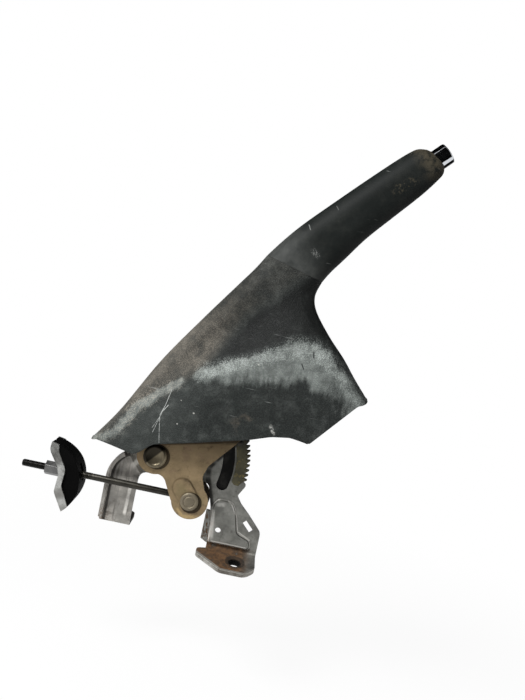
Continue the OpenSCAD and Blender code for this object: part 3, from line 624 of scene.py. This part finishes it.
def baked(made):
    """Replaces a piece's mesh by what its modifiers make of it, and drops them."""
    bpy.context.view_layer.update()
    mesh = bpy.data.meshes.new_from_object(made.evaluated_get(bpy.context.evaluated_depsgraph_get()))
    made.modifiers.clear()
    made.data = mesh
    return mesh


def edges_to_ease(work):
    """The outer edges of a mesh that are sharp."""
    return [
        edge for edge in work.edges
        if len(edge.link_faces) == 2 and edge.is_convex and edge.calc_face_angle() > radians(32)
    ]


def ease_edges(work, sharp, width):
    """Rounds edges that have room for it at both ends."""
    among = set(sharp)
    tight = 2.2 * width / 1000
    roomy = [
        edge for edge in sharp
        if all(o in among or o.calc_length() > tight for v in edge.verts for o in v.link_edges)
    ]
    if roomy:
        bmesh.ops.bevel(
            work, geom=roomy, offset=width / 1000, offset_type="OFFSET", segments=3, profile=0.5,
            affect="EDGES", clamp_overlap=True,
        )


def eased(node, finish, width, wide=0, where=None):
    """A merged copy of a solid with its edges broken; the walls round a face that passes a test lean in."""
    mesh = solids[node].data.copy()
    mesh.name = node + "_eased"
    work = bmesh.new()
    work.from_mesh(mesh)
    bmesh.ops.remove_doubles(work, verts=work.verts, dist=0.000004)
    bmesh.ops.dissolve_limit(work, angle_limit=radians(0.6), verts=work.verts, edges=work.edges)
    if where:
        lean_walls(work, where, wide)
    ease_edges(work, edges_to_ease(work), width)
    work.to_mesh(mesh)
    work.free()
    smooth(mesh)
    made = piece(node + "_eased", mesh, body_of[node], finish, [node])
    made.modifiers.new("flat_faces", "WEIGHTED_NORMAL").keep_sharp = True
    return made


def lean_walls(work, where, by):
    """Leans the walls round a raised face inwards, as a press leaves them."""
    pulls = {}
    for edge in work.edges:
        if len(edge.link_faces) == 2 and all(where(*(v.co * 1000 - PIVOT)) for v in edge.verts):
            flat, wall = sorted(edge.link_faces, key=lambda face: -abs(face.normal.y))
            if abs(flat.normal.y) > 0.9 and abs(wall.normal.y) < 0.3:
                for vert in edge.verts:
                    pulls.setdefault(vert, []).append(wall.normal.copy())
    for vert, normals in pulls.items():
        vert.co -= sum(normals, Vector()).normalized() * (by / 1000)
    work.normal_update()


def on_panel(x, y, z):
    """The face of the pressed panel, but not its pin hole."""
    return -4.2 < y < -4 and hypot(x - 60.8, z + 51.3) > 3


def through(table, station):
    """The smooth value of a table at a station between its rows."""
    i = min(int(station), len(table) - 2)
    f = station - i
    a, b, c, d = (table[max(0, min(len(table) - 1, i + j))] for j in (-1, 0, 1, 2))
    square = a * 2 - b * 5 + c * 4 - d
    cube = b * 3 - a - c * 3 + d
    return (b * 2 + (c - a) * f + square * f ** 2 + cube * f ** 3) * 0.5


def along_line(table, x):
    """The height of a broken line at x."""
    if x <= table[0][0]:
        return table[0][1]
    for (x0, z0), (x1, z1) in zip(table, table[1:]):
        if x <= x1:
            return z0 + (z1 - z0) * (x - x0) / (x1 - x0)
    return table[-1][1]


def ease(f):
    f = max(0, min(1, f))
    return f * f * (3 - 2 * f)


def rise(edge, radius):
    """A rounded edge: 0 at the edge and 1 from radius on."""
    return (1 - (1 - max(0, min(1, edge / radius))) ** 2.2) ** (1 / 2.2)


def both_sides(side):
    """One side of a ring and its mirror image, from the back edge to the front edge and round."""
    return [(x, -y, z) for x, y, z in side] + [(x, y, z) for x, y, z in side[-2:0:-1]]


def rail(*points):
    """A line in the side view that a shape is lofted along."""
    return [Vector(point) for point in points]


# The hood runs from its open foot, station 0, to the seam with the grip, station 6.
BACK_RAIL = rail((-54, 2), (-36, 29), (-12, 74), (14, 114), (36, 146), (47, 162), (54, 174))
FRONT_RAIL = rail((156, 78), (143, 92), (131, 106), (116, 121), (102, 138), (98, 150), (101, 162))
CREASE = (0, 0.03, 0.1, 0.2, 0.3, 0.3, 0.3)
SHOULDER = (0.4, 0.42, 0.5, 0.8, 0.9, 0.9, 0.9)
SWELL = (1, 1.02, 0.98, 0.8, 0.25, 0.03, 0)
BACK_ROUND = (5, 10, 14, 15, 15, 16, 17)
FRONT_ROUND = (9, 10, 11, 12, 13, 15, 17)
FOOT_LINE = (
    (-56, 4), (-50, 4), (-18, -0.6), (-13.7, 1.1), (-2.8, 11.2), (12, 15.9), (69.6, 31.3), (86.3, 37.3),
    (100.8, 39.7), (110.5, 38.5), (116, 37.5), (152.5, 81.2), (158, 88),
)
HALF_WIDTH = 15.5
FLARE = 15.98
WALL = 2.6
ACROSS = [0.65 * (0.5 - 0.5 * cos(pi * i / 84)) + 0.35 * i / 84 for i in range(85)]


def hood_side(station, inset, drop, lift=0):
    """One side of a hood ring; drop lowers it to the foot line."""
    back, front = through(BACK_RAIL, station), through(FRONT_RAIL, station)
    length = (front - back).length
    way = (front - back) / length
    crease, shoulder = through(CREASE, station), through(SHOULDER, station)
    side = []
    for s in ACROSS:
        p = back + way * (inset + (length - 2 * inset) * s)
        ends = rise(s * length, through(BACK_ROUND, station))
        ends = ends * rise((1 - s) * length, through(FRONT_ROUND, station))
        swell = FLARE * through(SWELL, station) * ease((s - crease) / (shoulder - crease))
        half = (HALF_WIDTH + swell) * ends
        thin = inset * rise(s * length, 12) * rise((1 - s) * length, 12)
        low = min(p[1] - 0.02, along_line(FOOT_LINE, p[0])) + lift
        side.append((p[0], max(0, half - thin), p[1] + (low - p[1]) * drop))
    return side


# Lines in the side view: the rubbed shoulder, and the edge of the dusty upper face.
RUBBED_LINE = (
    (-54, 2), (-37, 12), (-21, 38), (-1, 56), (22, 74), (59, 92), (93, 107), (108, 108), (132, 94), (150, 76),
)
DUSTY_LINE = ((-54, 2), (-24, 38), (22, 76), (48, 124), (86, 163))


def off_line(line, x, z):
    """Distance from a broken line, above it when positive."""
    best = None
    for (x0, z0), (x1, z1) in zip(line, line[1:]):
        run = hypot(x1 - x0, z1 - z0)
        along = max(0, min(run, ((x - x0) * (x1 - x0) + (z - z0) * (z1 - z0)) / run))
        far = hypot(x - x0 - along * (x1 - x0) / run, z - z0 - along * (z1 - z0) / run)
        side = (z - z0) * (x1 - x0) - (x - x0) * (z1 - z0)
        if best is None or far < abs(best):
            best = far if side > 0 else -far
    return best


def rub_share(x):
    """How rubbed the shoulder is along its length: less at both ends and in a gap before the middle."""
    gap = 0.8 * (1 - ease(abs(x - 15) / 9))
    ends = (0.75 + 0.25 * ease((x + 38) / 15)) * (1 - 0.3 * ease((x - 112) / 15))
    return (1 - gap) * ends


def hood_wear(x, z):
    """The grey wash under the shoulder: it stops short above and reaches further down towards the front."""
    off = off_line(RUBBED_LINE, x, z)
    front = ease((x - 60) / 30) * (1 - 0.75 * ease((x - 110) / 22))
    if off > 0:
        return (1 - ease(off / (6 + 8 * front))) * rub_share(x)
    reach = 8 + 22 * ease((x - 10) / 55) + 4 * front
    full = 0.35 * front
    return (1 - ease((-off / reach - full) / (1 - full))) * rub_share(x)


def hood_ridge(x, z):
    """The rubbed grain on the shoulder itself."""
    off = off_line(RUBBED_LINE, x, z)
    wide = 11 + 6 * ease((x - 60) / 30) if off > 0 else 11
    return (1 - ease(abs(off) / wide)) * (0.65 + 0.35 * ease((x - 5) / 40)) * rub_share(x)


def hood_top(x, z):
    """1 on the dusty upper face, less towards the seam with the grip."""
    fade = 1 - 0.6 * ease((along_grip(x, z) - 100) / 60)
    return ease((off_line(DUSTY_LINE, x, z) + 5) / 12) * fade


def hood_neck(x, z):
    """1 on the face above the rubbed shoulder and below the dusty face, where shade is painted."""
    start = 2 + 5 * ease((x - 60) / 30)
    return ease((off_line(RUBBED_LINE, x, z) - start) / 9) * ease((1 - off_line(DUSTY_LINE, x, z)) / 8)


def make_hood():
    levels = [i / 16 for i in range(96)]
    outer = [(0, 0, drop / 10, 0.7 * drop / 10) for drop in range(10, 0, -1)]
    outer += [(k, 0, 0, 0) for k in levels] + [(5.98, 0, 0, 0), (5.995, 0.12, 0, 0), (6, 0.4, 0, 0)]
    inner = [(6, WALL, 0, 0)] + [(k, WALL, 0, 0) for k in levels[::-2]]
    inner += [(0, WALL, drop / 5, 0.7 * drop / 5) for drop in range(1, 6)]
    foot = [(0, 2.4, 1, 0.2), (0, 1.9, 1, 0), (0, 0.7, 1, 0), (0, 0.2, 1, 0.2)]
    rows = outer + inner + foot
    rings = [both_sides(hood_side(*row)) for row in rows]
    rules = {"wear": hood_wear, "ridge": hood_ridge, "top": hood_top, "neck_shade": hood_neck}
    traits = {name: [rule(x, z) for ring in rings for x, y, z in ring] for name, rule in rules.items()}
    return piece("hood_shell", loft("hood_shell", rings, True, traits), "lever", "hood_plastic", ["hood"])


# The grip runs from the seam to its blunt end, where the button comes out.
GRIP_TOP = rail(
    (54, 174), (64, 188), (77, 204), (98, 226.4), (118.6, 247.9), (137, 266.5), (146.5, 275.3), (152, 279),
    (158, 280),
)
GRIP_LOW = rail(
    (101, 162), (106, 171), (115, 184), (128, 203), (145, 223.5), (163, 245), (173, 259), (175.8, 264.5),
    (175.6, 269),
)
GRIP_SHARE = (1, 1, 1, 1, 0.98, 0.95, 0.9, 0.82, 0.68)
GRIP_END = Vector((168, 0, 272.7))
GRIP_WAY = Vector((cos(radians(46)), 0, sin(radians(46))))
GRIP_UP = Vector((-GRIP_WAY[2], 0, GRIP_WAY[0]))


def grip_ring(station, inset):
    top, low = through(GRIP_TOP, station), through(GRIP_LOW, station)
    length = (low - top).length
    way = (low - top) / length
    round_over = min(17, 0.46 * length)
    side = []
    for s in ACROSS:
        p = top + way * (inset + (length - 2 * inset) * s)
        half = HALF_WIDTH * through(GRIP_SHARE, station) * rise(s * length, round_over)
        half = half * rise((1 - s) * length, round_over)
        side.append((p[0], max(0, half - inset), p[1]))
    return both_sides(side)


def bore_ring(like, along, radius):
    """A circle about the grip axis whose points face those of another ring."""
    centre = GRIP_END + GRIP_WAY * along
    ring = []
    for point in like:
        off = Vector(point) - centre
        turn = atan2(off[1], off.dot(GRIP_UP))
        ring.append(centre + GRIP_UP * (radius * cos(turn)) + Vector((0, radius * sin(turn), 0)))
    return ring


def make_grip():
    rings = [grip_ring(0, 0.4), grip_ring(0.008, 0.12), grip_ring(0.03, 0)]
    rings += [grip_ring(0.1 + 7.9 * i / 110, 0) for i in range(111)]
    last = rings[-1]
    blunt = [(Vector(p) - GRIP_END) * 0.93 + GRIP_END + GRIP_WAY * 0.5 for p in last]
    rings.append(blunt)
    rings += [bore_ring(last, 0.6, 9.3), bore_ring(last, 0.3, 8.9), bore_ring(last, -0.4, 8.8)]
    rings += [bore_ring(last, -19.5, 8.8), bore_ring(last, -19.6, 9.4), bore_ring(last, -138, 9.4)]
    return piece("grip_cover", loft("grip_cover", rings, True), "lever", "grip_plastic", ["grip"])


def make_button():
    crown, ball = 13, 34
    stem = broken([(-39.8, 0), (-39.8, 5.5), (-9.5, 5.5), (-9.5, 8.5)], 0.3)
    rim = [(10.9, 8.5), (11.6, 8.35), (12.0, 7.9)]
    dome = [(crown - ball + (ball * ball - r * r) ** 0.5, r) for r in (7.2, 6, 4, 2, 0)]
    mesh = turned("button_cap", stem + rim + dome, GRIP_END, GRIP_WAY)
    return piece("button_cap", mesh, "button", "chrome", ["release_button"])


def crosswise(name, profile, x, z, body, finish, stands_for=(), ease_by=0.35):
    """A turned piece whose axis runs towards the camera."""
    mesh = turned(name, broken(profile, ease_by), (x, 0, z), (0, -1, 0))
    return piece(name, mesh, body, finish, stands_for)


def make_pins():
    head = 12.15
    crosswise(
        "pivot_stud",
        [(-15.2, 0), (-15.2, 6), (head - 0.4, 6), (head, 9.4), (head + 3.2, 9.4), (head + 4.2, 8.2),
         (head + 4.2, 6.6), (head + 3.6, 6.2), (head + 3.6, 0)],
        0, 0, "bracket", "stud", ["pivot_pin"],
    )
    top = 12.8
    crosswise(
        "clevis_stud",
        [(-14.4, 0), (-14.4, 6), (-12, 6), (-12, 4), (top, 4), (top, 7.35), (top + 2.0, 7.35),
         (top + 2.6, 6.2), (top + 2.6, 5.0), (top + 2.1, 4.6), (top + 2.1, 4.2), (top + 2.5, 3.8),
         (top + 2.3, 0)],
        CLEVIS_X, CLEVIS_Z, "lever", "stud", ["clevis_pin"], 0.2,
    )


def open_tree(name, inputs):
    """A geometry node tree with named inputs of each kind, ready to be filled."""
    tree = bpy.data.node_groups.new(name, "GeometryNodeTree")
    tree.interface.new_socket("Geometry", in_out="OUTPUT", socket_type="NodeSocketGeometry")
    for kind, labels in inputs.items():
        for label in labels:
            tree.interface.new_socket(label, in_out="INPUT", socket_type="NodeSocket" + kind)
    return Graph(tree)


def close_tree(g, shape, finish):
    """Makes the instances real, sets the finish and joins the result to the tree's output."""
    whole = g.node("GeometryNodeRealizeInstances", {}, {"Geometry": shape})
    painted = g.node("GeometryNodeSetMaterial", {}, {"Geometry": whole, "Material": finish})
    g.tree.links.new(painted.socket, g.tree.nodes.new("NodeGroupOutput").inputs[0])
    return g.tree


def winding_tree():
    """A ridge or a wire that winds round an axis, with its turns, sizes, place and lean as inputs."""
    g = open_tree("winding", {
        "Float": ("Turns", "Length", "Radius", "Wire"), "Int": ("Sides",), "Vector": ("Place", "Lean"),
        "Material": ("Finish",),
    })
    sizes = g.node("NodeGroupInput")
    winding = g.node(
        "GeometryNodeCurveSpiral", {},
        {"Resolution": 20, "Rotations": sizes.also("Turns"), "Start Radius": sizes.also("Radius"),
         "End Radius": sizes.also("Radius"), "Height": sizes.also("Length")},
    )
    section = g.node(
        "GeometryNodeCurvePrimitiveCircle", {"mode": "RADIUS"},
        {"Resolution": sizes.also("Sides"), "Radius": sizes.also("Wire")},
    )
    ridge = g.node(
        "GeometryNodeCurveToMesh", {}, {"Curve": winding, "Profile Curve": section, "Fill Caps": True}
    )
    laid = g.node(
        "GeometryNodeTransform", {},
        {"Geometry": ridge, "Rotation": sizes.also("Lean"), "Translation": sizes.also("Place")},
    )
    return close_tree(g, laid, sizes.also("Finish"))


def grown(name, tree, inputs, body):
    """A piece made by a geometry node tree with these inputs, as a plain mesh."""
    made = placed(name, bpy.data.meshes.new(name))
    grow = made.modifiers.new("grow", "NODES")
    grow.node_group = tree
    names = {item.name: item.identifier for item in tree.interface.items_tree if item.in_out == "INPUT"}
    for key, value in inputs.items():
        grow[names[key]] = value
    mesh = baked(made)
    smooth(mesh)
    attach(made, body)
    return made


WINDING = winding_tree()


def make_rod():
    profile = [(-105.7, 0), (-105.7, 2.1), (-104.6, 2.65), (-48, 2.65), (-47, 2.75), (27, 2.75), (27, 0)]
    core = turned("rod_core", profile, (0, 0, CLEVIS_Z), (1, 0, 0), 40)
    piece("rod_core", core, "rod", "dark_steel", ["pull_rod"])
    section = [(-3, 4.05), (-3, 8), (-2.5, 8.5), (2.5, 8.5), (3, 8), (3, 4.05)]
    eye = turned("rod_eye", section, (CLEVIS_X, 0, CLEVIS_Z), (0, -1, 0), 48, True)
    piece("rod_eye", eye, "rod", "dark_steel")
    grown(
        "rod_thread", WINDING,
        {"Turns": 57.0, "Length": 0.057, "Radius": 0.00265, "Wire": 0.00034, "Sides": 4,
         "Place": spot(-105, 0, CLEVIS_Z), "Lean": (0, radians(90), 0),
         "Finish": FINISH["dark_steel"].material},
        "rod",
    )


def make_return_spring():
    """The coil under the button; the real spring shortens as the button goes in."""
    length, wire, press = 31.4, 1.4, 5.6
    foot = GRIP_END - GRIP_WAY * 71.9
    coil = grown(
        "return_coil", WINDING,
        {"Turns": 9.0, "Length": (length - wire) / 1000, "Radius": 0.0052, "Wire": wire / 2000, "Sides": 10,
         "Place": spot(*(foot + GRIP_WAY * (wire / 2))), "Lean": (0, radians(44), 0),
         "Finish": FINISH["spring_steel"].material},
        "lever",
    )
    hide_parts("return_spring")
    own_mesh(coil)


def rivet_tree():
    """Domed heads on both faces, spaced by angle round the pivot."""
    g = open_tree("rivet_heads", {
        "Float": ("Reach", "Width", "Height", "First", "Apart", "Near", "Far"), "Material": ("Finish",),
    })
    sizes = g.node("NodeGroupInput")
    width = sizes.also("Width")
    shape = g.node("ShaderNodeCombineXYZ", {}, {0: width, 1: sizes.also("Height"), 2: width})
    ball = g.node("GeometryNodeMeshUVSphere", {}, {"Segments": 24, "Rings": 12, "Radius": 1.0})
    head = g.node("GeometryNodeTransform", {}, {"Geometry": ball, "Scale": shape})
    heads = g.node("GeometryNodeJoinGeometry")
    for face in ("Near", "Far"):
        row = g.node("GeometryNodePoints", {}, {"Count": 2})
        turn = g.node("GeometryNodeInputIndex") * sizes.also("Apart") + sizes.also("First")
        place = g.node(
            "ShaderNodeCombineXYZ", {},
            {0: turn.math("COSINE", turn) * sizes.also("Reach"), 1: sizes.also(face),
             2: turn.math("SINE", turn) * sizes.also("Reach")},
        )
        laid = g.node("GeometryNodeSetPosition", {}, {"Geometry": row, "Position": place})
        set_on = g.node("GeometryNodeInstanceOnPoints", {}, {"Points": laid, "Instance": head})
        g.tree.links.new(set_on.socket, heads.socket.node.inputs[0])
    moved = g.node("GeometryNodeTransform", {}, {"Geometry": heads, "Translation": spot(0, 0, 0)})
    return close_tree(g, moved, sizes.also("Finish"))


def make_rivets():
    heads = grown(
        "rivet_heads", rivet_tree(),
        {"Reach": 0.0676, "Width": 0.0028, "Height": 0.0012, "First": radians(20), "Apart": radians(22),
         "Near": -0.0055, "Far": 0.0015, "Finish": FINISH["dark_steel"].material},
        "bracket",
    )
    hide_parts("sector_rivets")


def make_camera():
    tilt, roll = radians(5), radians(12)
    back = Vector((0, -cos(tilt), sin(tilt)))
    level = Vector((1, 0, 0))
    upright = back.cross(level)
    right = level * cos(roll) + upright * sin(roll)
    up = upright * cos(roll) - level * sin(roll)
    data = bpy.data.cameras.new("camera")
    data.lens = 48.2
    data.sensor_width = 36
    data.clip_start = 0.01
    made = placed("camera", data)
    turn = Matrix((right, up, back)).transposed().to_4x4()
    made.matrix_world = Matrix.Translation(spot(65.9, -747.1, 164.8)) @ turn
    bpy.context.scene.camera = made


def lamp(name, at, towards, size, power, mirrored=True):
    """A soft lamp; one that isn't mirrored doesn't show in the chrome."""
    data = bpy.data.lights.new(name, "AREA")
    data.size = size
    data.energy = power
    made = placed(name, data)
    made.location = spot(*at)
    made.rotation_euler = (spot(*at) - spot(*towards)).to_track_quat("Z", "Y").to_euler()
    made.visible_glossy = mirrored


def seen(graph):
    """1 for rays from the camera and in reflections, 0 for the light that falls on things."""
    path = graph.node("ShaderNodeLightPath", {}, {}, "Is Camera Ray")
    return path | path.also("Is Glossy Ray") | path.also("Is Transmission Ray")


def card(name, material, *corners):
    """A plane that only reflections show."""
    mesh = bpy.data.meshes.new(name)
    mesh.from_pydata([spot(*corner) for corner in corners], [], [(0, 1, 2, 3)])
    mesh.materials.append(material)
    made = placed(name, mesh)
    made.visible_camera = False
    made.visible_diffuse = False
    made.visible_shadow = False
    return made


def make_stage():
    scene = bpy.context.scene
    scene.view_settings.view_transform = "Standard"
    world = bpy.data.worlds.new("studio")
    world.use_nodes = True
    scene.world = world
    g = Graph(world.node_tree)
    sky = world.node_tree.nodes["Background"]
    sky.inputs["Color"].default_value = (1, 1, 1, 1)
    sky.inputs["Strength"].default_value = 0.17
    white = g.node("ShaderNodeBackground", {}, {"Color": (1, 1, 1, 1), "Strength": 1.0})
    both = g.node("ShaderNodeMixShader", {}, {0: seen(g), 1: Wire(g, sky.outputs[0]), 2: white})
    world.node_tree.links.new(both.socket, world.node_tree.nodes["World Output"].inputs["Surface"])

    floor = bpy.data.meshes.new("floor")
    low = cad_box[0][2] - 0.1
    floor.from_pydata([(-6, -6, low), (6, -6, low), (6, 6, low), (-6, 6, low)], [], [(0, 1, 2, 3)])
    ground = placed("floor", floor)
    paper = bpy.data.materials.new("paper")
    paper.use_nodes = True
    p = Graph(paper.node_tree)
    matt = p.node("ShaderNodeBsdfDiffuse", {}, {"Color": (0.85, 0.85, 0.85, 1)})
    glow = p.node("ShaderNodeEmission", {}, {"Color": (1, 1, 1, 1), "Strength": 1.0})
    place = p.node("ShaderNodeTexCoord", output="Object")
    away = p.node("ShaderNodeVectorMath", {"operation": "LENGTH"}, {0: place}, "Value")
    edge = p.node(
        "ShaderNodeMapRange", {"interpolation_type": "SMOOTHSTEP"},
        {"Value": away, "From Min": 0.25, "From Max": 0.7, "To Min": 0.93, "To Max": 1.0},
    )
    mixed = p.node("ShaderNodeMixShader", {}, {0: seen(p) * edge, 1: matt, 2: glow})
    paper.node_tree.links.new(mixed.socket, paper.node_tree.nodes["Material Output"].inputs["Surface"])
    floor.materials.append(paper)

    velvet = bpy.data.materials.new("velvet")
    velvet.use_nodes = True
    pile = velvet.node_tree.nodes["Principled BSDF"].inputs
    pile["Base Color"].default_value = (0.01, 0.01, 0.01, 1)
    pile["Specular IOR Level"].default_value = 0
    card(
            "front_card", velvet,
            (-1900, -850, -170), (2200, -850, -170), (2200, -850, 4600), (-1900, -850, 4600),
        )
    card(
            "top_card", velvet,
            (-3000, -150, 1500), (800, -150, 1500), (40000, 40000, 1500), (-40000, 40000, 1500),
        )
    card("side_card", velvet, (800, 60, -170), (800, 1400, -170), (800, 1400, 260), (800, 60, 260))

    lamp("key", (-470, -560, 740), (40, 0, 80), 0.36, 14)
    lamp("fill", (500, -700, 250), (60, 0, 60), 0.8, 1.2, False)
    lamp("rim", (-300, 700, 600), (60, 0, 120), 0.6, 3, False)


make_camera()
make_stage()
make_hood()
make_grip()
make_button()
make_pins()
make_rod()
make_return_spring()
make_rivets()
eased("equalizer", "equalizer", 0.5)
eased("mounting_bracket", "bracket_zinc", 0.4, 1.5, on_panel)
eased("lever_arm", "chromate", 0.4)
eased("ratchet_sector", "sector_steel", 0.25)
eased("adjuster_nut", "bright_steel", 0.5)

SLOT_OF = {row["node"]: row["material_slot"] for row in frame["record"]["subparts"]}
for name, solid in solids.items():
    solid.data.materials.clear()
    solid.data.materials.append(FINISH[SLOT_OF[name]].material)
